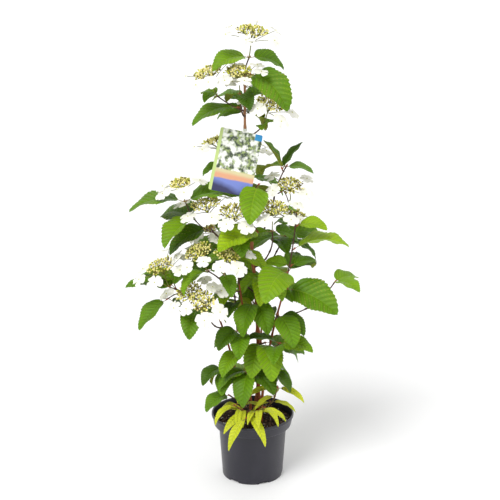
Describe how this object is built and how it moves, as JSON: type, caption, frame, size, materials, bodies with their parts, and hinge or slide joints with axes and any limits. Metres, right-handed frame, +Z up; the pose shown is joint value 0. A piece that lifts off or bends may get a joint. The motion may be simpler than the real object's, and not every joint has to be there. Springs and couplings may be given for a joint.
{
  "type": "lacecap viburnum shrub in a pot",
  "caption": "Slender young lacecap viburnum with several stems, drooping toothed leaves and flat white flower heads, in a round black nursery pot with a plain hang tag.",
  "frame": {"origin": "centre of the pot's flat underside", "axes": "+Z up along the trunk, +X to the right of the plant's front, -Y towards its front"},
  "size_m": [0.518, 0.313, 1.0362],
  "materials": {
    "pot_plastic": "satin",
    "potting_soil": "matte",
    "tag_card": "satin",
    "bark": "matte",
    "young_bark": "matte",
    "leaf": "satin",
    "young_leaf": "satin"
  },
  "bodies": {
    "root": {"bough_back_high": "young_bark", "bough_back_left": "young_bark", "bough_back_right": "young_bark", "bough_left_arm": "young_bark", "bough_left_high": "young_bark", "bough_left_inner": "young_bark", "bough_left_low": "young_bark", "bough_mid_left": "young_bark", "bough_right_arm": "young_bark", "bough_right_front": "young_bark", "bough_right_outer": "young_bark", "bough_tag_side": "young_bark", "foliage_back_high": "leaf", "foliage_back_left": "leaf", "foliage_back_low": "leaf", "foliage_back_low_left": "leaf", "foliage_back_middle": "leaf", "foliage_back_right": "leaf", "foliage_centre_light": "leaf", "foliage_centre_low": "leaf", "foliage_centre_lower": "leaf", "foliage_centre_right": "leaf", "foliage_crown_tip": "leaf", "foliage_front_hanging": "leaf", "foliage_left_arm": "leaf", "foliage_left_high": "leaf", "foliage_left_inner": "leaf", "foliage_left_low": "leaf", "foliage_low_front": "leaf", "foliage_low_left": "leaf", "foliage_mid_left": "leaf", "foliage_mid_left_front": "leaf", "foliage_mid_stem_left": "leaf", "foliage_mid_stem_low": "leaf", "foliage_pot_edge": "leaf", "foliage_right_arm": "leaf", "foliage_right_base": "leaf", "foliage_right_front": "leaf", "foliage_right_inner": "leaf", "foliage_right_low": "leaf", "foliage_right_outer": "leaf", "foliage_right_top": "leaf", "foliage_tag_side": "leaf", "foliage_upper_back": "leaf", "foliage_upper_front": "leaf", "foliage_upper_left": "leaf", "foliage_upper_right": "leaf", "plant_tag": "tag_card", "pot": "pot_plastic", "potting_soil": "potting_soil", "stem_back": "bark", "stem_left": "bark", "stem_mid_left": "bark", "stem_right": "bark", "trunk": "bark", "young_shoots_front": "young_leaf", "young_shoots_right": "young_leaf"}
  },
  "joints": []
}
